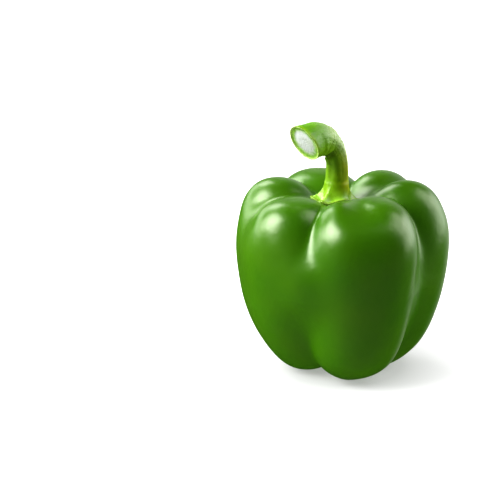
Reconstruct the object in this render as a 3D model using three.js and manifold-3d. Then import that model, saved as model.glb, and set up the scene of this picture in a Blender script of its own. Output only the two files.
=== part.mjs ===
// A green bell pepper standing on its blossom end: a fruit of seven swellings and a bent, cut stem with its calyx.
// Millimetres, +Z up. Azimuth 0 is the front of the fruit, towards -Y, and grows towards +X.
import * as THREE from "three";
import Module from "manifold-3d";

const wasm = await Module();
wasm.setup();
const { Manifold, Mesh: SolidMesh } = wasm;

// Driving dimensions of the fruit
const CENTRE_HEIGHT = 39.5; // the point on the axis that every ray to the surface starts from
const AXIS_PLACE = [0.4, 0.3, 0]; // where the fruit's axis stands, so that its box is centred on the origin
const REACH = 75; // no part of the skin is farther from the centre point than this

// A swelling leans from its place on the foot to its place on the crown, each an azimuth and a radius.
// across and deep are its half widths along and square to the ring, taper widens it upwards, square boxes it.
const SECTIONS = [
  [
    { crown: [-11, 25], foot: [-1, 15], across: 13.2, deep: 20.5, top: 78.1, bottom: -0.1, taper: 0.08, square: 2.6 },
    { crown: [35, 25], foot: [22, 15], across: 17.5, deep: 21.5, top: 79, bottom: 0.7, taper: 0.08, square: 2.6 },
  ],
  [
    { crown: [88, 26.4], foot: [85, 15.6], across: 17, deep: 21.3, top: 81, bottom: 0.1, taper: 0.12, square: 2.1 },
    { crown: [141, 26], foot: [110, 17], across: 17, deep: 20, top: 79, bottom: 0.1, taper: 0.12, square: 2.3 },
  ],
  [{ crown: [-158, 26], foot: [-172, 17], across: 22, deep: 21, top: 78.4, bottom: -0.3, taper: 0.12, square: 2.5 }],
  [
    { crown: [-106, 28], foot: [-100, 16.4], across: 17, deep: 20.5, top: 79.7, bottom: 0.6, taper: 0.12, square: 2.3 },
    { crown: [-55, 26], foot: [-79, 15], across: 18, deep: 21.5, top: 77.5, bottom: 0.2, taper: 0.1, square: 2.5 },
  ],
];
const CORE = { radius: 24, top: 69.5, bottom: 6.5, square: 4 }; // closes the fruit between the swellings
// How widely two swellings melt together: wide and soft at mid height, narrow and sharp at crown and foot
const MAIN_GROOVE = { middle: 12, crown: 0.8, foot: 1.2, fade: 2 };
const MINOR_GROOVE = { middle: 18, crown: 1.6, foot: 2, fade: 6 };
const CORE_MELT = 4;

// Driving dimensions of the stem
const SEAT_GAP = 0.3; // clear space between the calyx and the fruit that it sits on
const CALYX = { x: -3.2, y: 0.2, radius: 8, tip: 2.2, tipWidth: 17, edge: 1, thick: 1.6, sunk: 1 };
const CALYX_TIPS = [-131, -88, -28, 14, 66, 112, 172]; // azimuths of the grooves that its tips reach into
const STEM_LINE = [
  [-3.2, 0.2, 69.5],
  [-2.9, 0.5, 77.8],
  [-2.7, 0.7, 84],
  [-2.9, 0.7, 89.5],
  [-4.5, -0.2, 94.8],
  [-7.6, -2.8, 99.1],
  [-11.9, -6.5, 101.2],
  [-16.7, -10.5, 100],
];
const CUT_FACING = [-0.7, -0.59, -0.4]; // the way the cut end looks: left, forward and down
const CUT_TURN = 0.7; // the share of the length from which the sections turn to that way
// The stem's radius at shares of its length: swollen foot, slim neck, flared cut end
const STEM_RADIUS = [
  [0, 8.6],
  [0.08, 7.8],
  [0.19, 5.6],
  [0.28, 4.85],
  [0.44, 4.65],
  [0.63, 5],
  [0.75, 5.8],
  [0.87, 6.95],
  [1, 8.1],
];
const RIBS = { count: 6, height: 0.05 };
const CUT_FACE = { lip: 0.5, dish: 0.45, pith: 5.7, dome: 0.3 };

// Mesh fineness
const FRUIT_GRID = { around: 84, down: 44 };
const STEM_GRID = { around: 48, along: 22 };

const radians = THREE.MathUtils.degToRad;
const smoothstep = (t) => t * t * (3 - 2 * t);

function onRing([azimuth, radius]) {
  const a = radians(azimuth);
  return new THREE.Vector2(Math.sin(a), -Math.cos(a)).multiplyScalar(radius);
}

// Below 0 inside the swelling and above 0 outside, in about millimetres.
function swellingField(s, x, y, z) {
  const half = (s.top - s.bottom) / 2;
  const t = (z - (s.top + s.bottom) / 2) / half;
  const lean = THREE.MathUtils.clamp(t, -1.3, 1.3);
  const crown = onRing(s.crown);
  const foot = onRing(s.foot);
  const outward = crown.clone().add(foot).normalize();
  const line = foot.clone().lerp(crown, (1 + lean) / 2);
  const dx = x - line.x;
  const dy = y - line.y;
  const widen = 1 + s.taper * lean;
  const away = (dx * outward.x + dy * outward.y) / (s.deep * widen);
  const along = (dy * outward.x - dx * outward.y) / (s.across * widen);
  const q = Math.hypot(along, away) ** s.square + Math.abs(t) ** s.square;
  return (q ** (1 / s.square) - 1) * s.across;
}

function coreField(x, y, z) {
  const half = (CORE.top - CORE.bottom) / 2;
  const t = (z - (CORE.top + CORE.bottom) / 2) / half;
  const q = (Math.hypot(x, y) / CORE.radius) ** CORE.square + Math.abs(t) ** CORE.square;
  return (q ** (1 / CORE.square) - 1) * CORE.radius;
}

// Union of two fields that melts together where they differ by less than width.
function melt(a, b, width) {
  const h = Math.max(width - Math.abs(a - b), 0) / width;
  return Math.min(a, b) - (h * h * width) / 4;
}

function grooveWidth(groove, z) {
  const t = THREE.MathUtils.clamp((z - CENTRE_HEIGHT) / CENTRE_HEIGHT, -1, 1);
  const end = t > 0 ? groove.crown : groove.foot;
  return THREE.MathUtils.lerp(groove.middle, end, smoothstep(Math.abs(t) ** (groove.fade / 2)));
}

function fruitField(x, y, z) {
  const main = grooveWidth(MAIN_GROOVE, z);
  const minor = grooveWidth(MINOR_GROOVE, z);
  const joined = SECTIONS.map((section) =>
    section.map((s) => swellingField(s, x, y, z)).reduce((a, b) => melt(a, b, minor)),
  ).reduce((a, b) => melt(a, b, main));
  return melt(joined, coreField(x, y, z), CORE_MELT);
}

// The distance at which a measure that grows from below 0 to above 0 passes 0.
function crossing(measure, near, far) {
  let [inside, outside] = [near, far];
  for (let i = 0; i < 22; i++) {
    const middle = (inside + outside) / 2;
    if (measure(middle) < 0) inside = middle;
    else outside = middle;
  }
  return (inside + outside) / 2;
}

// Closed surface from a lowest point through rings of points, each with the same count, to a last point.
function skin(first, rings, last) {
  const around = rings[0].length;
  const points = [first, ...rings.flat(), last];
  const end = points.length - 1;
  const faces = [];
  const at = (ring, i) => 1 + ring * around + (i % around);
  for (let i = 0; i < around; i++) {
    faces.push(0, at(0, i + 1), at(0, i));
    for (let ring = 0; ring + 1 < rings.length; ring++) {
      faces.push(at(ring, i), at(ring, i + 1), at(ring + 1, i));
      faces.push(at(ring, i + 1), at(ring + 1, i + 1), at(ring + 1, i));
    }
    faces.push(at(rings.length - 1, i), at(rings.length - 1, i + 1), end);
  }
  const vertProperties = new Float32Array(points.flatMap((p) => p.toArray()));
  const solid = new Manifold(new SolidMesh({ numProp: 3, vertProperties, triVerts: new Uint32Array(faces) }));
  if (solid.volume() <= 0) throw new Error("a skin faces inwards");
  return solid;
}

function circle(count, pointAt) {
  return Array.from({ length: count }, (_, i) => pointAt((i / count) * 2 * Math.PI));
}

// The fruit's solid, with its skin moved outwards by grown.
function fruitSolid(grown) {
  const centre = new THREE.Vector3(0, 0, CENTRE_HEIGHT);
  const skinPoint = (azimuth, polar) => {
    const flat = Math.sin(polar);
    const ray = new THREE.Vector3(flat * Math.sin(azimuth), -flat * Math.cos(azimuth), Math.cos(polar));
    const measure = (r) =>
      fruitField(centre.x + ray.x * r, centre.y + ray.y * r, centre.z + ray.z * r) - grown;
    return centre.clone().addScaledVector(ray, crossing(measure, 5, REACH));
  };
  const rings = [];
  for (let row = 1; row < FRUIT_GRID.down; row++) {
    rings.push(circle(FRUIT_GRID.around, (a) => skinPoint(a, (1 - row / FRUIT_GRID.down) * Math.PI)));
  }
  return skin(skinPoint(0, Math.PI), rings, skinPoint(0, 0));
}

// The fruit rests on small flat spots, where its lobes are pressed level at height 0.
function fruit() {
  return fruitSolid(0).trimByPlane([0, 0, 1], 0);
}

// Height of the hollow's floor under the calyx.
function floorHeight(x, y) {
  return crossing((z) => fruitField(x, y, z), 60, 90);
}

function calyxRadius(azimuth) {
  const nearTip = CALYX_TIPS.map((tip) => {
    const apart = Math.abs(THREE.MathUtils.euclideanModulo(azimuth - radians(tip) + Math.PI, 2 * Math.PI) - Math.PI);
    return Math.exp(-((apart / radians(CALYX.tipWidth)) ** 2));
  });
  return CALYX.radius + CALYX.tip * Math.max(...nearTip);
}

// One ring of the calyx at a share of its radius, raised above the hollow's floor.
function calyxRing(share, raised) {
  return circle(STEM_GRID.around, (a) => {
    const r = calyxRadius(a) * share;
    const x = CALYX.x + r * Math.sin(a);
    const y = CALYX.y - r * Math.cos(a);
    return new THREE.Vector3(x, y, floorHeight(x, y) + raised);
  });
}

function stemRadius(share) {
  const next = Math.max(1, STEM_RADIUS.findIndex(([s]) => s >= share));
  const [s0, r0] = STEM_RADIUS[next - 1];
  const [s1, r1] = STEM_RADIUS[next];
  return THREE.MathUtils.lerp(r0, r1, smoothstep((share - s0) / (s1 - s0)));
}

// Frames carried along the stem's line without twist, so that ring points stay in step.
function stemFrames() {
  const line = new THREE.CatmullRomCurve3(STEM_LINE.map((p) => new THREE.Vector3(...p)));
  const frames = [];
  let side = new THREE.Vector3(1, 0, 0);
  for (let i = 0; i <= STEM_GRID.along; i++) {
    const share = i / STEM_GRID.along;
    const turn = smoothstep(Math.max(0, (share - CUT_TURN) / (1 - CUT_TURN)));
    const ahead = line.getTangentAt(share).lerp(new THREE.Vector3(...CUT_FACING), turn).normalize();
    side = side.clone().addScaledVector(ahead, -side.dot(ahead)).normalize();
    const front = side.clone().cross(ahead);
    frames.push({ share, centre: line.getPointAt(share), ahead, side, front });
  }
  return frames;
}

function stemRing(frame, radius, ribs, forward) {
  return circle(STEM_GRID.around, (a) => {
    const r = radius * (1 + ribs * Math.cos(RIBS.count * a));
    return frame.centre
      .clone()
      .addScaledVector(frame.side, r * Math.sin(a))
      .addScaledVector(frame.front, r * Math.cos(a))
      .addScaledVector(frame.ahead, forward);
  });
}

function stemAndCalyx() {
  const under = [0.3, 0.65, 0.97].map((share) => calyxRing(share, -CALYX.sunk));
  const rim = calyxRing(1, SEAT_GAP + CALYX.edge * 0.4);
  const lip = calyxRing(0.97, SEAT_GAP + CALYX.edge);
  const over = [0.88, 0.78].map((share) => calyxRing(share, SEAT_GAP + CALYX.thick));
  const frames = stemFrames().filter((frame) => frame.share > 0.12);
  const shaft = frames.map((frame) => {
    const ribs = RIBS.height * (1 - smoothstep(Math.max(0, frame.share - 0.6) / 0.4));
    return stemRing(frame, stemRadius(frame.share), ribs, 0);
  });
  const end = frames.at(-1);
  const rimRadius = STEM_RADIUS.at(-1)[1];
  const face = [
    stemRing(end, rimRadius - CUT_FACE.lip, 0, 0.1),
    stemRing(end, rimRadius - 2 * CUT_FACE.lip, 0, -CUT_FACE.dish),
    stemRing(end, CUT_FACE.pith, 0, -CUT_FACE.dish),
    stemRing(end, CUT_FACE.pith * 0.6, 0, CUT_FACE.dome - CUT_FACE.dish),
  ];
  const below = new THREE.Vector3(CALYX.x, CALYX.y, floorHeight(CALYX.x, CALYX.y) - CALYX.sunk);
  const pith = end.centre.clone().addScaledVector(end.ahead, CUT_FACE.dome - CUT_FACE.dish);
  const rough = skin(below, [...under, rim, lip, ...over, ...shaft, ...face], pith);
  return rough.subtract(fruitSolid(SEAT_GAP));
}

function meshOf(name, solid, colour, roughness) {
  const { numProp, vertProperties, triVerts } = solid.getMesh();
  if (numProp !== 3) throw new Error("a solid has more than places in its points");
  const geometry = new THREE.BufferGeometry();
  geometry.setAttribute("position", new THREE.BufferAttribute(vertProperties, 3));
  geometry.setIndex(new THREE.BufferAttribute(triVerts, 1));
  geometry.computeVertexNormals();
  const material = new THREE.MeshStandardMaterial({ color: colour, roughness, metalness: 0 });
  const mesh = new THREE.Mesh(geometry, material);
  mesh.name = name;
  return mesh;
}

// The shapes are made round the fruit's own axis, and one group stands that axis in its place.
const standing = new THREE.Group();
standing.position.set(...AXIS_PLACE);
standing.add(meshOf("fruit", fruit(), "#3f7a0a", 0.25));
standing.add(meshOf("stem_and_calyx", stemAndCalyx(), "#86b03c", 0.6));

const pepper = new THREE.Group();
pepper.add(standing);

export default pepper;
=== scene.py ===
"""A green bell pepper on a pale floor: a glossy fruit of seven swellings with a bent, cut stem."""
import math

import bpy
import numpy as np
from mathutils import Matrix, Vector


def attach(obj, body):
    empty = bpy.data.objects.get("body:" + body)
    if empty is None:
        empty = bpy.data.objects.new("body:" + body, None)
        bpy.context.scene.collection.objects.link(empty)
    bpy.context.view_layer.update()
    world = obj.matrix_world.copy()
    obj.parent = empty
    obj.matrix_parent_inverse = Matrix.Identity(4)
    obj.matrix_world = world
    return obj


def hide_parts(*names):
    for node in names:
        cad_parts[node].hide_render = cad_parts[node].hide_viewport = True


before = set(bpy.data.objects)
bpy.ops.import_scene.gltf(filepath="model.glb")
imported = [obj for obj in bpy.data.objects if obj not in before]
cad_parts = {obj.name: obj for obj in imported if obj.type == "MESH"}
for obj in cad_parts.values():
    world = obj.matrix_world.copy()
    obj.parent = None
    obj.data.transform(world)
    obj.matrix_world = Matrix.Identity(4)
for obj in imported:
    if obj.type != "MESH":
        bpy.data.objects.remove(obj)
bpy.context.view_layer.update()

# The shapes are worked out in millimetres round the fruit's own axis, as the CAD part is
MM = 0.001
AXIS_PLACE = np.array([0.4, 0.3, 0.0])
CENTRE_HEIGHT = 39.5

# How fine the meshes are
FRUIT_AROUND = 400
FRUIT_DOWN = 248
STEM_AROUND = 240
STEM_ALONG = 260
STEM_SPAN_POINTS = 40
CUT_RINGS = 48

# The skin is searched for between two distances along a line, by halving what lies between them
SKIN_SEARCH = (5.0, 75.0)
HOLLOW_SEARCH = (60.0, 90.0)
HALVINGS = 24


# The fruit's swellings


def swelling(crown, foot, across, deep, top, bottom, taper, square):
    """One swelling, which leans from its place on the foot to its place on the crown.

    A place is an azimuth in degrees, 0 in front and growing to the right, and a distance from the axis.
    """
    return dict(
        crown=crown, foot=foot, across=across, deep=deep, top=top, bottom=bottom, taper=taper, square=square
    )


FRONT = [
    swelling((-5, 25), (5, 15), 13.5, 18.9, 78.4, -0.1, 0.06, 2.25),
    swelling((33, 25), (20, 15), 17.5, 22.3, 79.0, 0.7, 0.08, 2.6),
]
RIGHT = [
    swelling((88, 26.4), (85, 15.6), 17.0, 21.3, 81.0, 0.1, 0.12, 2.1),
    swelling((141, 26), (110, 17), 17.0, 20.0, 79.0, 0.1, 0.12, 2.3),
]
BACK = [swelling((-158, 26), (-172, 17), 22.0, 21.0, 78.4, -0.3, 0.12, 2.5)]
LEFT = [
    swelling((-106, 28), (-100, 16.4), 17.0, 20.5, 79.7, 0.6, 0.12, 2.3),
    swelling((-53.5, 26), (-73, 15), 19.5, 21.5, 77.5, 0.2, 0.10, 2.5),
]

# A swelling leans and widens on past its ends, up to this share of half its height
LEAN_LIMIT = 1.3

# The middle of the fruit, under the hollow
CORE = dict(radius=24.0, top=66.4, bottom=6.5, square=4)
CORE_MELT = 4.0

# A low form that fills the groove between the front and the left lobe at mid height
SHALLOW = swelling((-29, 17), (-28, 11), 13.0, 24.4, 60.0, 29.0, 0.0, 2.2)
SHALLOW_MELT = 10.0

# How widely two swellings melt together: wide and soft at mid height, narrow and sharp at crown and foot
MAIN_GROOVE = dict(middle=12.0, crown=0.8, foot=1.0, fade=1.3)
SHORT_GROOVE = dict(middle=18.0, crown=1.6, foot=2.0, fade=9)
MINOR_GROOVE = dict(middle=18.0, crown=1.6, foot=2.0, fade=6)
LONG_GROOVE = dict(middle=18.0, crown=1.2, foot=2.0, fade=3.2)
SECTIONS = [(FRONT, SHORT_GROOVE), (RIGHT, MINOR_GROOVE), (BACK, MINOR_GROOVE), (LEFT, LONG_GROOVE)]

# How far the lighter skin reaches from a groove and from the calyx, and where the scar below fades in
GROOVE_REACH = 5.0
HOLLOW_REACH = 16.0
SCAR_EDGE = 3.4
SCAR_FULL = 1.8

# The calyx: its underside is let into the fruit's skin, and its thin edge stands over it
SEAT_GAP = 0.3
LET_IN = 0.4
CALYX = dict(x=-3.2, y=-0.4, radius=6.9, tip=3.7, tip_width=17.0, edge=0.7)
CALYX_TOP = SEAT_GAP + CALYX["edge"]
CALYX_TIPS = (-134, -93, -35, 99, 132, 174)
UNDERSIDE_SHARES = (0.3, 0.65, 0.9, 0.97)
EDGE_RINGS = [(0.995, 0.0), (1.0, 0.4), (0.995, 0.75), (0.98, 0.95), (0.96, 1.0)]
FLARE = dict(rings=30, inward=0.55, upward=0.6, vein=0.12)

# The stem's middle line, and its radius by share of its length
STEM_LINE = [
    (-3.2, 0.2, 69.5),
    (-2.9, 0.5, 77.8),
    (-2.7, 0.7, 84.0),
    (-2.9, 0.7, 89.5),
    (-4.5, -0.2, 94.8),
    (-7.6, -2.8, 99.1),
    (-11.9, -6.5, 101.2),
    (-16.7, -10.5, 100.0),
]
CUT_FACING = (-0.7, -0.59, -0.4)
CUT_TURN = 0.7
STEM_RADIUS = [
    (0.0, 8.6),
    (0.08, 7.8),
    (0.19, 5.6),
    (0.28, 4.85),
    (0.44, 4.65),
    (0.63, 5.0),
    (0.75, 5.8),
    (0.87, 6.95),
    (1.0, 8.1),
]
STEM_START = 0.24
STEM_LENGTH = 44.5

# The stem's relief: places and widths are shares of its length, heights and depths are millimetres
INNER_SIDE = math.radians(-46)
RELIEF_FULL = 0.36
RIBS = dict(count=6, height=0.035, fade=0.6)
BEND = dict(share=0.66, width=0.17, calm_inside=0.7)
FOLD = dict(share=0.585, slant=0.085, width=0.014, depth=1.05, spread=0.95)
FOLD_LIP = dict(height=0.35, past=0.045, width=0.045)
CHIN = dict(share=0.80, width=0.11, height=1.5)

# The cut face: a ragged lip, a dish and a domed pith, with widths and slopes as shares of its radius
CUT_SHARES = (0.99, 0.02)
CUT_LIP = dict(share=0.97, width=0.05)
CUT_DISH = dict(depth=0.45, floor=0.86)
CUT_PITH = dict(radius=5.5, dome=0.3, slope=0.3)
CUT_CALM = 0.2

# Uneven relief: how high it swings and over what distance, in millimetres, and the seed of its swings
BROAD_DENTS = dict(height=0.10, size=34.0, seed=1)
SMALL_DENTS = dict(height=0.02, size=13.0, seed=2)
SCAR_CRUST = dict(height=0.25, size=2.2, seed=3)
FINE_LINES = dict(height=0.05, size=1.7, seed=4)
WRINKLES = dict(height=0.08, size=1.3, seed=5)
SCALES = dict(height=0.07, size=1.0, seed=6)
RAGGED_LIP = dict(height=0.16, size=2.2, seed=7)
CUT_FIBRES = dict(height=0.05, size=1.1, seed=8)
RIPPLE_WAVES = 8
RIPPLE_SPREAD = (0.6, 1.3)

# Fine lines are drawn out along the stem, and wrinkles round it
LINES_ALONG = 0.06
WRINKLES_ROUND = 0.35

# Painted stretches of the stem: each rises and fades over a pair of shares of the stem's length
# The bloom: real pale scaly skin outside the bend, with a painted sheen in its pale tone
BLOOM_AND_SHEEN = dict(side=(0.3, 0.75), rises=(0.36, 0.56), fades=(0.92, 0.68))
BEHIND_RIM = dict(side=(0.0, 0.625), rises=(0.74, 0.84), fades=(0.985, 0.955))
# The side away from the lamps: its real olive streaks, lightened with painted light
OLIVE_SIDE_LIGHT_PAINT = dict(side=math.radians(58), spread=0.75, rises=(0.05, 0.20), fades=(0.62, 0.42))
# Painted light on the chin of the head
CHIN_PAINTED_LIGHT = dict(rises=(0.60, 0.66), fades=(0.98, 0.93))
# Painted shade on the neck just under the fold
PAINTED_SHADE_UNDER_FOLD = dict(below=0.05, width=0.045, turn=0.6, spread=0.8)


# Places and gentle changes


def smoothstep(t):
    t = np.clip(t, 0, 1)
    return t * t * (3 - 2 * t)


def ramp(value, zero, one):
    """0 where the value is at or before zero, 1 at or past one, and smooth in between."""
    return smoothstep((value - zero) / (one - zero))


def hill(distance, width):
    """1 where the distance is 0, falling to 0 a few widths away."""
    return np.exp(-((distance / width) ** 2))


def angle_between(a, b):
    """How far apart two angles are, in radians, from 0 to pi."""
    return np.abs((a - b + math.pi) % (2 * math.pi) - math.pi)


def on_ring(place):
    """X and Y of a place that is given by its azimuth in degrees and its distance from the axis."""
    azimuth, radius = place
    a = math.radians(azimuth)
    return np.array([math.sin(a), -math.cos(a)]) * radius


def ripple(p, height, size, seed):
    """Uneven values, mostly within the height either way, that swing over distances of about the size."""
    random = np.random.default_rng(seed)
    total = np.zeros(p.shape[:-1])
    for _ in range(RIPPLE_WAVES):
        direction = random.normal(size=p.shape[-1])
        direction *= 2 * math.pi / size * random.uniform(*RIPPLE_SPREAD) / np.linalg.norm(direction)
        total += np.sin(p @ direction + random.uniform(0, 2 * math.pi))
    return height * (total / 3)


def crossing(measure, shape, search):
    """The distances at which a measure that grows from below 0 to above 0 passes 0."""
    near, far = (np.full(shape, end) for end in search)
    for _ in range(HALVINGS):
        middle = (near + far) / 2
        inside = measure(middle) < 0
        near = np.where(inside, middle, near)
        far = np.where(inside, far, middle)
    return (near + far) / 2


# The fruit's skin is where this field is 0: below 0 inside, above 0 outside, in about millimetres


def height_share(z, form):
    """-1 at the form's bottom and 1 at its top."""
    half = (form["top"] - form["bottom"]) / 2
    return (z - (form["top"] + form["bottom"]) / 2) / half


def rounded(flat, upright, square):
    """How far out a place is in a rounded form, with 1 on its surface; a larger square makes it boxier."""
    return (flat**square + np.abs(upright) ** square) ** (1 / square)


def swelling_field(p, s):
    t = height_share(p[..., 2], s)
    lean = np.clip(t, -LEAN_LIMIT, LEAN_LIMIT)
    crown, foot = on_ring(s["crown"]), on_ring(s["foot"])
    outward = (crown + foot) / np.linalg.norm(crown + foot)
    line = foot + (crown - foot) * ((1 + lean) / 2)[..., None]
    d = p[..., :2] - line
    widen = 1 + s["taper"] * lean
    away = (d @ outward) / (s["deep"] * widen)
    along = (d[..., 1] * outward[0] - d[..., 0] * outward[1]) / (s["across"] * widen)
    return (rounded(np.hypot(along, away), t, s["square"]) - 1) * s["across"]


def core_field(p):
    from_axis = np.hypot(p[..., 0], p[..., 1]) / CORE["radius"]
    return (rounded(from_axis, height_share(p[..., 2], CORE), CORE["square"]) - 1) * CORE["radius"]


def melt(a, b, width):
    """The union of two fields, which run into each other smoothly over about the width."""
    reach = 1.5 * width
    h = np.maximum(reach - np.abs(a - b), 0) / reach
    return np.minimum(a, b) - h**3 * reach / 6


def melt_all(fields, width):
    joined = fields[0]
    for field in fields[1:]:
        joined = melt(joined, field, width)
    return joined


def groove_width(groove, z):
    t = np.clip((z - CENTRE_HEIGHT) / CENTRE_HEIGHT, -1, 1)
    end = np.where(t > 0, groove["crown"], groove["foot"])
    return groove["middle"] + (end - groove["middle"]) * smoothstep(np.abs(t) ** (groove["fade"] / 2))


def fruit_field(p):
    z = p[..., 2]
    sections = [melt_all([swelling_field(p, s) for s in parts], groove_width(g, z)) for parts, g in SECTIONS]
    lobes = melt_all(sections, groove_width(MAIN_GROOVE, z))
    filled = melt(lobes, swelling_field(p, SHALLOW), SHALLOW_MELT)
    return melt(filled, core_field(p), CORE_MELT)


def groove_closeness(p):
    """1 in the groove between two sections of the fruit, falling to 0 some millimetres away from it."""
    fields = [np.min([swelling_field(p, s) for s in parts], axis=0) for parts, _ in SECTIONS]
    nearest = np.sort(fields, axis=0)
    return hill(nearest[1] - nearest[0], GROOVE_REACH)


def blossom_scar(p):
    """1 on the dry scar in the middle of the underside, falling to 0 round it."""
    scar = ramp(np.hypot(p[..., 0], p[..., 1]), SCAR_EDGE, SCAR_FULL)
    return np.where(p[..., 2] < CENTRE_HEIGHT, scar, 0)


def fruit_skin_points():
    """Rings of points on the fruit's skin from foot to crown, with the lowest and the highest point."""
    azimuth = np.arange(FRUIT_AROUND) / FRUIT_AROUND * 2 * math.pi
    polar = (1 - np.arange(FRUIT_DOWN + 1) / FRUIT_DOWN) * math.pi
    a, h = np.meshgrid(azimuth, polar)
    ray = np.stack([np.sin(h) * np.sin(a), -np.sin(h) * np.cos(a), np.cos(h)], axis=-1)
    centre = np.array([0, 0, CENTRE_HEIGHT])
    distance = crossing(lambda r: fruit_field(centre + ray * r[..., None]), a.shape, SKIN_SEARCH)
    skin = centre + ray * distance[..., None]
    skin = skin + ray * (ripple(skin, **BROAD_DENTS) + ripple(skin, **SMALL_DENTS))[..., None]
    skin = skin + ray * (blossom_scar(skin) * ripple(skin, **SCAR_CRUST))[..., None]
    skin[..., 2] = np.maximum(skin[..., 2], 0)
    return skin


def hollow_floor(x, y):
    """Height of the hollow's floor under the calyx."""
    return crossing(lambda z: fruit_field(np.stack([x, y, z], axis=-1)), x.shape, HOLLOW_SEARCH)


# Meshes


def put_mesh(name, points, faces, materials):
    """A smooth mesh object from points in millimetres round the fruit's axis."""
    mesh = bpy.data.meshes.new(name)
    mesh.from_pydata(((points + AXIS_PLACE) * MM).tolist(), [], faces)
    for material in materials:
        mesh.materials.append(material)
    mesh.polygons.foreach_set("use_smooth", [True] * len(mesh.polygons))
    piece = bpy.data.objects.new(name, mesh)
    bpy.context.scene.collection.objects.link(piece)
    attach(piece, "root")
    return piece


def skin_faces(rings, around):
    """Faces of a closed skin: a first point, rings of points, a last point."""
    last = 1 + rings * around
    faces = []
    for i in range(around):
        j = (i + 1) % around
        faces.append((0, 1 + j, 1 + i))
        for ring in range(rings - 1):
            low, high = 1 + ring * around, 1 + (ring + 1) * around
            faces.append((low + i, low + j, high + j, high + i))
        low = 1 + (rings - 1) * around
        faces.append((low + i, low + j, last))
    return faces


def paint(piece, name, values):
    """A number at each point of a piece, which its material reads by name."""
    attribute = piece.data.attributes.new(name, "FLOAT", "POINT")
    attribute.data.foreach_set("value", np.asarray(values, np.float32))


def build_fruit(material):
    skin = fruit_skin_points()
    points = np.vstack([skin[0, :1], skin[1:-1].reshape(-1, 3), skin[-1, :1]])
    piece = put_mesh("fruit_skin", points, skin_faces(FRUIT_DOWN - 1, FRUIT_AROUND), [material])
    from_calyx = np.hypot(points[:, 0] - CALYX["x"], points[:, 1] - CALYX["y"])
    near_calyx = np.where(points[:, 2] > CENTRE_HEIGHT, hill(from_calyx, HOLLOW_REACH), 0)
    paint(piece, "groove", groove_closeness(points))
    paint(piece, "near_calyx", near_calyx)
    paint(piece, "scar", blossom_scar(points))
    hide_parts("fruit")


def tip_closeness(azimuth):
    """1 along the azimuth of each of the calyx's tips, falling to 0 between them."""
    width = math.radians(CALYX["tip_width"])
    return np.max([hill(angle_between(azimuth, math.radians(tip)), width) for tip in CALYX_TIPS], axis=0)


def calyx_ring(azimuth, share, raised):
    """A ring of the calyx at a share of its radius, raised over the floor of the hollow."""
    r = (CALYX["radius"] + CALYX["tip"] * tip_closeness(azimuth)) * share
    x = CALYX["x"] + r * np.sin(azimuth)
    y = CALYX["y"] - r * np.cos(azimuth)
    return np.stack([x, y, hollow_floor(x, y) + raised], axis=-1)


def calyx_rings(azimuth):
    """The underside of the calyx and its thin edge."""
    for share in UNDERSIDE_SHARES:
        yield calyx_ring(azimuth, share, -LET_IN)
    for share, height in EDGE_RINGS:
        yield calyx_ring(azimuth, share, height * CALYX_TOP)


def flare_rings(azimuth, edge, neck, ahead):
    """The trumpet that rises from the calyx's edge to the stem's neck, with the share of its way."""
    gap = neck - edge
    flat = gap * np.array([1, 1, 0])
    first = edge + flat * FLARE["inward"]
    second = neck - ahead * (FLARE["upward"] * gap[:, 2:])
    lift = flat / -np.linalg.norm(flat, axis=1, keepdims=True) + np.array([0, 0, 1])
    vein = FLARE["vein"] * tip_closeness(azimuth)[:, None]
    for t in np.arange(1, FLARE["rings"]) / FLARE["rings"]:
        u = 1 - t
        curve = u**3 * edge + 3 * u * u * t * first + 3 * u * t * t * second + t**3 * neck
        yield t, curve + lift * vein * math.sin(math.pi * t) ** 2


def stem_line(count):
    """Even points along a smooth line through STEM_LINE, with their shares of its length."""
    knots = np.array(STEM_LINE)
    before, after = 2 * knots[0] - knots[1], 2 * knots[-1] - knots[-2]
    k = np.vstack([before, knots, after])
    t = np.linspace(0, 1, STEM_SPAN_POINTS, endpoint=False)[:, None]
    parts = []
    for a, b, c, d in zip(k, k[1:], k[2:], k[3:]):
        gap = [np.linalg.norm(q - p) ** 0.5 for p, q in ((a, b), (b, c), (c, d))]
        m1 = ((b - a) / gap[0] - (c - a) / (gap[0] + gap[1]) + (c - b) / gap[1]) * gap[1]
        m2 = ((c - b) / gap[1] - (d - b) / (gap[1] + gap[2]) + (d - c) / gap[2]) * gap[1]
        parts.append(
            b + m1 * t + (-3 * b + 3 * c - 2 * m1 - m2) * t**2 + (2 * b - 2 * c + m1 + m2) * t**3
        )
    line = np.vstack(parts + [knots[-1:]])
    length = np.concatenate([[0], np.cumsum(np.linalg.norm(np.diff(line, axis=0), axis=1))])
    share = np.linspace(0, 1, count)
    return share, np.stack([np.interp(share, length / length[-1], line[:, i]) for i in range(3)], axis=-1)


def stem_frames():
    """Places along the stem with directions that are carried along without twist."""
    share, line = stem_line(STEM_ALONG + 1)
    ahead = np.gradient(line, axis=0)
    ahead /= np.linalg.norm(ahead, axis=1, keepdims=True)
    turn = ramp(share, CUT_TURN, 1)[:, None]
    ahead = ahead * (1 - turn) + np.array(CUT_FACING) * turn
    ahead /= np.linalg.norm(ahead, axis=1, keepdims=True)
    side = np.array([1.0, 0, 0])
    frames = []
    for s, centre, forward in zip(share, line, ahead):
        side = side - forward * (side @ forward)
        side = side / np.linalg.norm(side)
        frames.append(dict(share=s, centre=centre, ahead=forward, side=side, front=np.cross(side, forward)))
    return [f for f in frames if f["share"] >= STEM_START]


def stem_radius(share):
    shares = np.array([s for s, _ in STEM_RADIUS])
    radii = np.array([r for _, r in STEM_RADIUS])
    i = np.clip(np.searchsorted(shares, share, side="left"), 1, len(shares) - 1)
    return radii[i - 1] + (radii[i] - radii[i - 1]) * ramp(share, shares[i - 1], shares[i])


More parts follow.
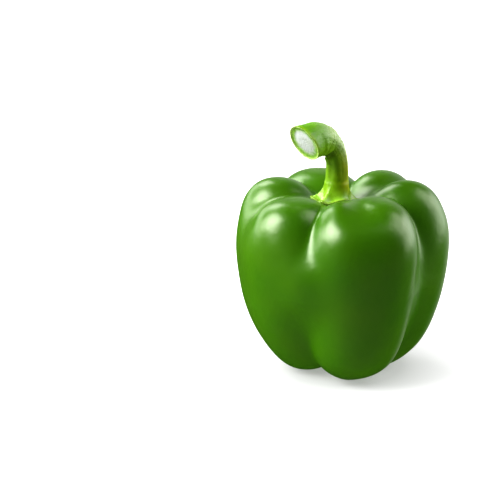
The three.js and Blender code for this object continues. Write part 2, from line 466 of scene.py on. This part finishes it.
def inner_side(azimuth):
    """1 on the inner side of the stem's bend, falling to 0 round it."""
    return hill(angle_between(azimuth, INNER_SIDE), FOLD["spread"])


def fold_share(azimuth):
    """Where along the stem the fold of the bend lies on each side of it."""
    return FOLD["share"] + FOLD["slant"] * np.sin(azimuth - INNER_SIDE)


def stem_relief(azimuth, share):
    """Ribs, fine lines, wrinkles, the fold of the bend and the chin past it, in millimetres outwards."""
    radius = stem_radius(share)
    along = np.full(azimuth.shape, share * STEM_LENGTH)
    x, y = radius * np.sin(azimuth), radius * np.cos(azimuth)
    round_x, round_y = WRINKLES_ROUND * x, WRINKLES_ROUND * y
    inner = inner_side(azimuth)
    bend = hill(share - BEND["share"], BEND["width"]) * (1 - BEND["calm_inside"] * inner)
    past_fold = share - fold_share(azimuth)
    ribs = RIBS["height"] * ramp(share, 1, RIBS["fade"]) * radius * np.cos(RIBS["count"] * azimuth)
    lines = ripple(np.stack([LINES_ALONG * along, x, y], axis=-1), **FINE_LINES)
    wrinkles = bend * ripple(np.stack([along, round_x, round_y], axis=-1), **WRINKLES)
    scales = bend * ripple(np.stack([along, x, y], axis=-1), **SCALES)
    lip = FOLD_LIP["height"] * hill(past_fold - FOLD_LIP["past"], FOLD_LIP["width"])
    fold = inner * (lip - FOLD["depth"] * hill(past_fold, FOLD["width"]))
    chin = CHIN["height"] * inner * hill(share - CHIN["share"], CHIN["width"])
    return ramp(share, STEM_START, RELIEF_FULL) * (ribs + lines + wrinkles + scales + fold + chin)


def stem_ring(azimuth, f, radius, forward):
    """A ring round the stem's line at one of its frames, moved ahead by a distance at each point."""
    out = np.sin(azimuth)[:, None] * f["side"] + np.cos(azimuth)[:, None] * f["front"]
    radius, forward = (np.broadcast_to(v, azimuth.shape)[:, None] for v in (radius, forward))
    return f["centre"] + out * radius + f["ahead"] * forward


def shaft_ring(azimuth, f):
    return stem_ring(azimuth, f, stem_radius(f["share"]) + stem_relief(azimuth, f["share"]), 0)


def cut_rings(azimuth, end):
    """The cut face from its ragged lip to the dome of its pith, with each ring's share of the radius."""
    rim = STEM_RADIUS[-1][1]
    rim_relief = stem_relief(azimuth, 1.0)
    circle = np.stack([np.sin(azimuth), np.cos(azimuth)], axis=-1)
    ragged = ripple(rim * circle, **RAGGED_LIP)
    pith_edge = CUT_PITH["radius"] / rim
    for share in np.linspace(*CUT_SHARES, CUT_RINGS):
        lip = ragged * hill(share - CUT_LIP["share"], CUT_LIP["width"])
        dish = -CUT_DISH["depth"] * ramp(share, 1, CUT_DISH["floor"])
        dome = CUT_PITH["dome"] * ramp(share, pith_edge, pith_edge - CUT_PITH["slope"])
        fibres = ripple(share * rim * circle, **CUT_FIBRES) * ramp(share, 0, CUT_CALM)
        yield share, stem_ring(azimuth, end, (rim + rim_relief) * share, lip + dish + dome + fibres)


def paint_stem(piece, angle, along):
    """Where the stem's colours change: its bloom with a painted sheen, the places round the bend with
    painted light on the chin and painted shade under the fold, and its shaded side lightened with painted
    light.
    """

    def stretch(area):
        return ramp(along, *area["rises"]) * ramp(along, *area["fades"])

    outer = 0.5 - 0.5 * np.cos(angle - INNER_SIDE)
    olive_side_lit = hill(angle_between(angle, OLIVE_SIDE_LIGHT_PAINT["side"]), OLIVE_SIDE_LIGHT_PAINT["spread"])
    painted_shade_below_fold = hill(along - fold_share(angle) + PAINTED_SHADE_UNDER_FOLD["below"], PAINTED_SHADE_UNDER_FOLD["width"])
    beside_fold = hill(angle_between(angle, INNER_SIDE + PAINTED_SHADE_UNDER_FOLD["turn"]), PAINTED_SHADE_UNDER_FOLD["spread"])
    # The bloom: real scaly skin with a painted sheen
    paint(piece, "bloom_and_sheen", ramp(outer, *BLOOM_AND_SHEEN["side"]) * stretch(BLOOM_AND_SHEEN))
    paint(piece, "behind_rim", ramp(outer, *BEHIND_RIM["side"]) * stretch(BEHIND_RIM))
    # Painted light on the side away from the lamps, over its real olive tone
    paint(piece, "olive_side_painted_light", olive_side_lit * stretch(OLIVE_SIDE_LIGHT_PAINT))
    # Painted light on the chin
    paint(piece, "chin", inner_side(angle) * stretch(CHIN_PAINTED_LIGHT))
    # Painted shade under the fold
    paint(piece, "painted_shade_under_fold", painted_shade_below_fold * beside_fold)


def build_stem(green, cut):
    azimuth = np.arange(STEM_AROUND) / STEM_AROUND * 2 * math.pi
    frames = stem_frames()
    end = frames[-1]
    neck = stem_ring(azimuth, frames[0], stem_radius(STEM_START), 0)

    # Each ring with its share of the stem's length and its share of the cut face's radius
    rings = [(ring, 0.0, 1.0) for ring in calyx_rings(azimuth)]
    flare = flare_rings(azimuth, rings[-1][0], neck, frames[0]["ahead"])
    rings += [(ring, t * STEM_START, 1.0) for t, ring in flare]
    rings += [(shaft_ring(azimuth, f), f["share"], 1.0) for f in frames]
    first_cut_point = 1 + (len(rings) - 1) * STEM_AROUND
    rings += [(ring, 1.0, share) for share, ring in cut_rings(azimuth, end)]

    x, y = np.array([CALYX["x"]]), np.array([CALYX["y"]])
    below = np.stack([x, y, hollow_floor(x, y) - LET_IN], axis=-1)
    pith = end["centre"] + end["ahead"] * (CUT_PITH["dome"] - CUT_DISH["depth"])
    points = np.vstack([below, *(ring for ring, _, _ in rings), pith[None]])
    faces = skin_faces(len(rings), STEM_AROUND)
    piece = put_mesh("stem_and_calyx_skin", points, faces, [green, cut])
    for polygon in piece.data.polygons:
        if min(polygon.vertices) >= first_cut_point:
            polygon.material_index = 1

    def per_point(values, last):
        return np.concatenate([[values[0]], np.repeat(values, STEM_AROUND), [last]])

    along = per_point([share for _, share, _ in rings], 1.0)
    angle = np.concatenate([[0], np.tile(azimuth, len(rings)), [0]])
    paint(piece, "along", along)
    paint(piece, "cut_share", per_point([share for _, _, share in rings], 0.0))
    paint_stem(piece, angle, along)
    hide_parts("stem_and_calyx")


# Shader nodes


def feed(tree, value, socket):
    """Another socket linked to this one, or a constant set on it."""
    if isinstance(value, bpy.types.NodeSocket):
        tree.links.new(value, socket)
    else:
        socket.default_value = value


def node(tree, kind, **values):
    """A node with its properties set and its sockets fed by name, with _ for a space in the name."""
    made = tree.nodes.new(kind)
    for name, value in values.items():
        socket = made.inputs.get(name.replace("_", " "))
        if socket is None:
            setattr(made, name, value)
        else:
            feed(tree, value, socket)
    return made


def noise(tree, vector, scale, detail=3.0, roughness=0.55):
    made = node(tree, "ShaderNodeTexNoise", Vector=vector, Scale=scale, Detail=detail, Roughness=roughness)
    return made.outputs["Fac"]


def between(tree, value, low, high, to_low=0.0, to_high=1.0):
    """The value, moved from the range low to high into another."""
    ranges = dict(From_Min=low, From_Max=high, To_Min=to_low, To_Max=to_high)
    return node(tree, "ShaderNodeMapRange", Value=value, **ranges).outputs["Result"]


def maths(tree, operation, a, b):
    made = node(tree, "ShaderNodeMath", operation=operation)
    feed(tree, a, made.inputs[0])
    feed(tree, b, made.inputs[1])
    return made.outputs[0]


def times(tree, a, b):
    return maths(tree, "MULTIPLY", a, b)


def mix(tree, share, a, b):
    """A colour between a and b."""
    made = node(tree, "ShaderNodeMix", data_type="RGBA")
    for value, socket in ((share, made.inputs[0]), (a, made.inputs[6]), (b, made.inputs[7])):
        feed(tree, value, socket)
    return made.outputs[2]


def tinted(tree, toned, area, strength, tone):
    """The colour so far, with a tone laid over an area of it."""
    return mix(tree, times(tree, area, strength), toned, tone)


def painted(tree, name):
    return node(tree, "ShaderNodeAttribute", attribute_name=name).outputs["Fac"]


def colour(r, g, b):
    return (r, g, b, 1.0)


def group(name, inputs, outputs):
    """A node group with named inputs, each with its kind and usual value, and named outputs."""
    tree = bpy.data.node_groups.new(name, "ShaderNodeTree")
    for label, kind, value in inputs:
        socket = tree.interface.new_socket(name=label, in_out="INPUT", socket_type=kind)
        if value is not None:
            socket.default_value = value
    for label, kind in outputs:
        tree.interface.new_socket(name=label, in_out="OUTPUT", socket_type=kind)
    return tree, tree.nodes.new("NodeGroupInput").outputs, tree.nodes.new("NodeGroupOutput").inputs


def make_mottle():
    """Uneven pigment: two tones that drift into each other, with small pale flecks."""
    tree, given, out = group(
        "mottle",
        [
            ("Vector", "NodeSocketVector", None),
            ("Main Tone", "NodeSocketColor", colour(0.1, 0.3, 0.01)),
            ("Second Tone", "NodeSocketColor", colour(0.2, 0.4, 0.02)),
            ("Fleck Tone", "NodeSocketColor", colour(0.3, 0.5, 0.1)),
            ("Patch Scale", "NodeSocketFloat", 60.0),
            ("Fleck Scale", "NodeSocketFloat", 900.0),
            ("Fleck Amount", "NodeSocketFloat", 0.2),
        ],
        [("Colour", "NodeSocketColor")],
    )
    drift = noise(tree, given["Vector"], given["Patch Scale"], detail=2.0, roughness=0.5)
    cells = node(tree, "ShaderNodeTexVoronoi", Vector=given["Vector"], Scale=given["Fleck Scale"])
    dots = between(tree, cells.outputs["Distance"], low=0.22, high=0.05)
    patches = between(tree, drift, low=0.22, high=0.78)
    toned = mix(tree, patches, given["Main Tone"], given["Second Tone"])
    feed(tree, tinted(tree, toned, dots, given["Fleck Amount"], given["Fleck Tone"]), out["Colour"])
    return tree


def make_pores():
    """A fine uneven surface: soft swells with smaller pits on them."""
    tree, given, out = group(
        "pores",
        [
            ("Vector", "NodeSocketVector", None),
            ("Swell Scale", "NodeSocketFloat", 300.0),
            ("Pit Scale", "NodeSocketFloat", 1500.0),
            ("Pit Share", "NodeSocketFloat", 0.3),
        ],
        [("Height", "NodeSocketFloat")],
    )
    swells = noise(tree, given["Vector"], given["Swell Scale"], detail=2.0, roughness=0.5)
    pits = noise(tree, given["Vector"], given["Pit Scale"], detail=2.0, roughness=0.5)
    feed(tree, maths(tree, "ADD", swells, times(tree, pits, given["Pit Share"])), out["Height"])
    return tree


mottle_group = make_mottle()
pores_group = make_pores()


def mottle(tree, place, tones, **scales):
    """The mottle in a material, with the material's own tones and scales."""
    made = node(tree, "ShaderNodeGroup", node_tree=mottle_group, Vector=place, **tones, **scales)
    return made.outputs["Colour"]


def pore_bump(tree, place, shader, distance, strength=0.5, **scales):
    """The pores in a material, as a bump on its shader, with the distance in metres."""
    pores = node(tree, "ShaderNodeGroup", node_tree=pores_group, Vector=place, **scales)
    height = pores.outputs["Height"]
    bump = node(tree, "ShaderNodeBump", Distance=distance, Strength=strength, Height=height)
    feed(tree, bump.outputs["Normal"], shader.inputs["Normal"])


def new_material(name, **constants):
    """A material with its Principled BSDF, and the piece's own coordinates in metres."""
    material = bpy.data.materials.new(name)
    material.use_nodes = True
    tree = material.node_tree
    shader = tree.nodes["Principled BSDF"]
    for socket, value in constants.items():
        feed(tree, value, shader.inputs[socket.replace("_", " ")])
    return material, tree, shader, node(tree, "ShaderNodeTexCoord").outputs["Object"]


# The fruit's waxy skin
SKIN_TONES = dict(
    Main_Tone=colour(0.040, 0.131, 0.0004),
    Second_Tone=colour(0.054, 0.143, 0.0006),
    Fleck_Tone=colour(0.064, 0.168, 0.002),
)
GROOVE_GREEN = colour(0.044, 0.146, 0.0008)
HOLLOW_GREEN = colour(0.060, 0.160, 0.001)
SCAR_BROWN = colour(0.30, 0.22, 0.09)
WAX_SHINE = colour(0.97, 1.0, 0.86)


def fruit_material():
    """Drifting deep greens under a wax gloss, lighter in grooves and hollow, with a dry scar below."""
    material, tree, shader, place = new_material(
        "waxy_green_skin", IOR=1.5, Specular_IOR_Level=0.70, Specular_Tint=WAX_SHINE
    )
    scar = painted(tree, "scar")
    crust = between(tree, noise(tree, place, 900.0), low=0.3, high=0.6, to_low=0.5)
    toned = mottle(tree, place, SKIN_TONES, Patch_Scale=45.0, Fleck_Scale=620.0, Fleck_Amount=0.02)
    toned = tinted(tree, toned, painted(tree, "groove"), 0.3, GROOVE_GREEN)
    toned = tinted(tree, toned, painted(tree, "near_calyx"), 0.35, HOLLOW_GREEN)
    toned = tinted(tree, toned, scar, crust, SCAR_BROWN)
    waves = noise(tree, place, 140.0, detail=2.0)
    gloss = between(tree, waves, low=0.2, high=0.8, to_low=0.28, to_high=0.34)
    feed(tree, toned, shader.inputs["Base Color"])
    feed(tree, maths(tree, "ADD", gloss, times(tree, scar, 0.45)), shader.inputs["Roughness"])
    pore_bump(tree, place, shader, 0.00035, Swell_Scale=160.0, Pit_Scale=1400.0, Pit_Share=0.06)
    return material


# The stem's green skin
STEM_TONES = dict(
    Main_Tone=colour(0.135, 0.280, 0.002),
    Second_Tone=colour(0.195, 0.345, 0.004),
    Fleck_Tone=colour(0.28, 0.41, 0.04),
)
OLIVE_PAINTED_LIGHT_YELLOW = colour(0.44, 0.46, 0.008)
RIM_BACK_GREEN = colour(0.08, 0.25, 0.003)
CHIN_PAINTED_LIGHT_GREEN = colour(0.27, 0.44, 0.015)
FOLD_PAINTED_SHADE = colour(0.08, 0.11, 0.002)
FOOT_GREEN = colour(0.28, 0.50, 0.06)
EDGE_GREEN = colour(0.23, 0.33, 0.06)
BLOOM_AND_SHEEN_PALE = colour(0.60, 0.70, 0.46)


def stem_material():
    """Ribbed green with a pale scaly bloom and painted sheen outside the bend, painted shade under the fold
    in it, painted light on its chin and on its shaded side, and a glossy foot.
    """
    material, tree, shader, place = new_material("ribbed_green_stem", IOR=1.45)
    along = painted(tree, "along")
    bloom_and_sheen = painted(tree, "bloom_and_sheen")
    streaks = between(tree, noise(tree, place, 260.0), low=0.35, high=0.65, to_low=0.35, to_high=0.95)
    flaking = noise(tree, place, 1100.0, detail=5.0, roughness=0.7)
    crackle = between(tree, flaking, low=0.42, high=0.60, to_low=0.45)
    foot = between(tree, along, low=0.22, high=0.05, to_high=0.7)
    edge = between(tree, along, low=0.05, high=0.0, to_high=0.7)
    toned = mottle(tree, place, STEM_TONES, Patch_Scale=150.0, Fleck_Scale=900.0, Fleck_Amount=0.25)
    # Painted light: the shaded side gets a lighter olive tone, with its real olive streaks
    toned = tinted(tree, toned, painted(tree, "olive_side_painted_light"), streaks, OLIVE_PAINTED_LIGHT_YELLOW)
    toned = tinted(tree, toned, painted(tree, "behind_rim"), 0.65, RIM_BACK_GREEN)
    # Painted light: the chin, which faces the lamps, is lightened
    toned = tinted(tree, toned, painted(tree, "chin"), 0.6, CHIN_PAINTED_LIGHT_GREEN)
    # Painted shade: the neck just under the fold is darkened
    toned = tinted(tree, toned, painted(tree, "painted_shade_under_fold"), 0.65, FOLD_PAINTED_SHADE)
    toned = mix(tree, foot, toned, FOOT_GREEN)
    toned = mix(tree, edge, toned, EDGE_GREEN)
    # The bloom: real pale scaly skin, with a painted sheen laid over it
    toned = tinted(tree, toned, times(tree, bloom_and_sheen, crackle), 0.8, BLOOM_AND_SHEEN_PALE)
    smooth = between(tree, noise(tree, place, 300.0), low=0.3, high=0.7, to_low=0.30, to_high=0.42)
    rough = maths(tree, "ADD", smooth, times(tree, bloom_and_sheen, 0.25))
    feed(tree, toned, shader.inputs["Base Color"])
    feed(tree, maths(tree, "SUBTRACT", rough, times(tree, foot, 0.18)), shader.inputs["Roughness"])
    pore_bump(tree, place, shader, 0.0004, Swell_Scale=420.0, Pit_Scale=1800.0, Pit_Share=0.4)
    return material


# The stem's cut end
PITH_TONES = dict(
    Main_Tone=colour(0.35, 0.39, 0.31),
    Second_Tone=colour(0.40, 0.42, 0.42),
    Fleck_Tone=colour(0.30, 0.36, 0.21),
)
RING_TONES = dict(
    Main_Tone=colour(0.12, 0.26, 0.018),
    Second_Tone=colour(0.20, 0.34, 0.045),
    Fleck_Tone=colour(0.10, 0.22, 0.01),
)
RIM_LIGHT = colour(0.36, 0.46, 0.15)
DRY_BROWN = colour(0.22, 0.17, 0.08)


def cut_material():
    """A green ring with its vessels and dry spots round a pale, spongy pith."""
    material, tree, shader, place = new_material("cut_stem_end", Roughness=0.6)
    share = painted(tree, "cut_share")
    pith = mottle(tree, place, PITH_TONES, Patch_Scale=260.0, Fleck_Scale=1500.0, Fleck_Amount=0.3)
    ring = mottle(tree, place, RING_TONES, Patch_Scale=700.0, Fleck_Scale=1100.0, Fleck_Amount=0.5)
    wander = between(tree, noise(tree, place, 500.0), low=0.3, high=0.7, to_low=-0.07, to_high=0.07)
    inside = between(tree, maths(tree, "ADD", share, wander), low=0.80, high=0.58)
    spots = between(tree, noise(tree, place, 620.0), low=0.60, high=0.70)
    dry = times(tree, between(tree, share, low=0.80, high=0.93), spots)
    toned = mix(tree, inside, ring, pith)
    toned = mix(tree, between(tree, share, low=0.90, high=0.97), toned, RIM_LIGHT)
    toned = tinted(tree, toned, dry, 0.8, DRY_BROWN)
    feed(tree, toned, shader.inputs["Base Color"])
    pore_bump(tree, place, shader, 0.0004, 0.8, Swell_Scale=500.0, Pit_Scale=1600.0, Pit_Share=0.6)
    return material


# The scene round the pepper, in metres
MIDDLE = Vector((0, 0, 0.045))
WHITE = colour(1, 1, 1)
FLOOR_SURFACE = dict(Base_Color=colour(0.30, 0.30, 0.30), Roughness=0.85)
FLOOR_GLOW = 0.78
FLOOR_HALF_WIDTH = 1.6
FLOOR_FRONT = -0.30
FLOOR_BACK = 2.4

# How bright the camera sees the floor, by distance from the pepper's foot: dimmer near the foot, a painted
# shadow
FLOOR_SEEN_PAINTED_SHADOW = dict(low=0.026, high=0.080, to_low=0.30, to_high=0.86)

# How bright the studio is, by how near a direction is to its bright side, low behind on the right
BRIGHT_SIDE = dict(azimuth=152, elevation=4)
STUDIO_GLOW = dict(low=0.74, high=0.95, to_low=0.02, to_high=0.7)

# Soft boxes that look at the pepper's middle, with narrow beams that dim towards their edges
LAMP_SPREAD = math.radians(80)
LAMPS = {
    "window_light": dict(azimuth=-76, elevation=37, distance=0.65, size=(0.60, 0.55), radiance=2.4),
    "left_sheet": dict(azimuth=-112, elevation=10, distance=0.70, size=(0.55, 0.30), radiance=0.55),
    "low_back_light": dict(azimuth=-142, elevation=20, distance=0.65, size=(0.32, 0.30), radiance=0.42),
    "back_light": dict(azimuth=-150, elevation=42, distance=0.65, size=(0.28, 0.26), radiance=0.95),
    "side_fill": dict(azimuth=108, elevation=12, distance=0.70, size=(0.75, 0.55), radiance=0.66),
    "high_side_light": dict(azimuth=94, elevation=46, distance=0.70, size=(0.50, 0.60), radiance=0.62),
}


def toward(azimuth, elevation):
    """Direction from the pepper towards an azimuth, counted as for the swellings, and an elevation."""
    a, e = math.radians(azimuth), math.radians(elevation)
    return Vector((math.cos(e) * math.sin(a), -math.cos(e) * math.cos(a), math.sin(e)))


def seen_apart(tree, lighting, seen, surface):
    """A surface that shows the camera one shader and lights everything else with another."""
    is_camera = node(tree, "ShaderNodeLightPath").outputs["Is Camera Ray"]
    choice = node(tree, "ShaderNodeMixShader")
    for value, socket in zip((is_camera, lighting.outputs[0], seen.outputs[0]), choice.inputs):
        feed(tree, value, socket)
    feed(tree, choice.outputs[0], surface)


def floor_material():
    """White paper that lights the pepper from below; the camera sees its glow grow with the distance, so a
    painted shadow lies round the pepper's foot.
    """
    material, tree, shader, place = new_material(
        "white_floor", Emission_Color=WHITE, Emission_Strength=FLOOR_GLOW, **FLOOR_SURFACE
    )
    distance = node(tree, "ShaderNodeVectorMath", operation="LENGTH", Vector=place)
    # Painted shadow: the glow the camera sees is weaker near the pepper
    fade = between(tree, distance.outputs["Value"], **FLOOR_SEEN_PAINTED_SHADOW)
    seen = node(
        tree, "ShaderNodeBsdfPrincipled", Emission_Color=fade, Emission_Strength=1.0, **FLOOR_SURFACE
    )
    seen_apart(tree, shader, seen, tree.nodes["Material Output"].inputs["Surface"])
    return material


def build_floor():
    left, right, front, back = -FLOOR_HALF_WIDTH, FLOOR_HALF_WIDTH, FLOOR_FRONT, FLOOR_BACK
    corners = [(left, front, 0), (right, front, 0), (right, back, 0), (left, back, 0)]
    mesh = bpy.data.meshes.new("floor")
    mesh.from_pydata(corners, [], [(0, 1, 2, 3)])
    mesh.materials.append(floor_material())
    floor = bpy.data.objects.new("floor", mesh)
    bpy.context.scene.collection.objects.link(floor)
    floor.visible_glossy = False


def build_world():
    """White to the camera; as light, bright on one side and dim elsewhere."""
    world = bpy.data.worlds.new("studio")
    bpy.context.scene.world = world
    world.use_nodes = True
    tree = world.node_tree
    tree.nodes.clear()
    closeness = node(tree, "ShaderNodeVectorMath", operation="DOT_PRODUCT")
    feed(tree, node(tree, "ShaderNodeTexCoord").outputs["Generated"], closeness.inputs[0])
    feed(tree, toward(**BRIGHT_SIDE), closeness.inputs[1])
    level = between(tree, closeness.outputs["Value"], **STUDIO_GLOW)
    studio = node(tree, "ShaderNodeBackground", Color=WHITE, Strength=level)
    plain = node(tree, "ShaderNodeBackground", Color=WHITE, Strength=1.0)
    seen_apart(tree, studio, plain, node(tree, "ShaderNodeOutputWorld").inputs["Surface"])


def soft_light(name, azimuth, elevation, distance, size, radiance):
    light = bpy.data.lights.new(name, "AREA")
    light.shape = "RECTANGLE"
    light.size, light.size_y = size
    light.spread = LAMP_SPREAD
    light.energy = radiance * math.pi * size[0] * size[1]
    lamp = bpy.data.objects.new(name, light)
    bpy.context.scene.collection.objects.link(lamp)
    out = toward(azimuth, elevation)
    lamp.location = MIDDLE + out * distance
    lamp.rotation_euler = (-out).to_track_quat("-Z", "Y").to_euler()
    lamp.visible_camera = False


# The camera looks down at the pepper, which stands right of the picture's middle
IMAGE = 500
SENSOR = 36.0
PITCH = math.radians(18)
CAMERA_DISTANCE = 1.1
METRES_PER_PIXEL = 0.42 * MM
SIGHTED_HEIGHT = 40.5
SIGHTED = Vector((AXIS_PLACE[0] * MM, AXIS_PLACE[1] * MM, SIGHTED_HEIGHT * MM))
SIGHTED_PIXEL = (342.5, 273.0)


def build_camera():
    camera = bpy.data.cameras.new("camera")
    camera.sensor_width = SENSOR
    camera.lens = CAMERA_DISTANCE / METRES_PER_PIXEL / IMAGE * SENSOR
    camera.clip_start = 0.05
    camera.clip_end = 20
    seen = bpy.data.objects.new("camera", camera)
    bpy.context.scene.collection.objects.link(seen)
    right = Vector((1, 0, 0))
    up = Vector((0, math.sin(PITCH), math.cos(PITCH)))
    forward = Vector((0, math.cos(PITCH), -math.sin(PITCH)))
    across = (SIGHTED_PIXEL[0] - IMAGE / 2) * METRES_PER_PIXEL
    above = (IMAGE / 2 - SIGHTED_PIXEL[1]) * METRES_PER_PIXEL
    seen.location = SIGHTED - forward * CAMERA_DISTANCE - right * across - up * above
    seen.rotation_euler = Matrix((right, up, -forward)).transposed().to_euler()
    bpy.context.scene.camera = seen


build_fruit(fruit_material())
build_stem(stem_material(), cut_material())
build_floor()
build_world()
for lamp_name, lamp_values in LAMPS.items():
    soft_light(lamp_name, **lamp_values)
build_camera()

# A contrasty view keeps the greens deep and clear under the gloss
bpy.context.scene.view_settings.view_transform = "Standard"
bpy.context.scene.view_settings.look = "High Contrast"
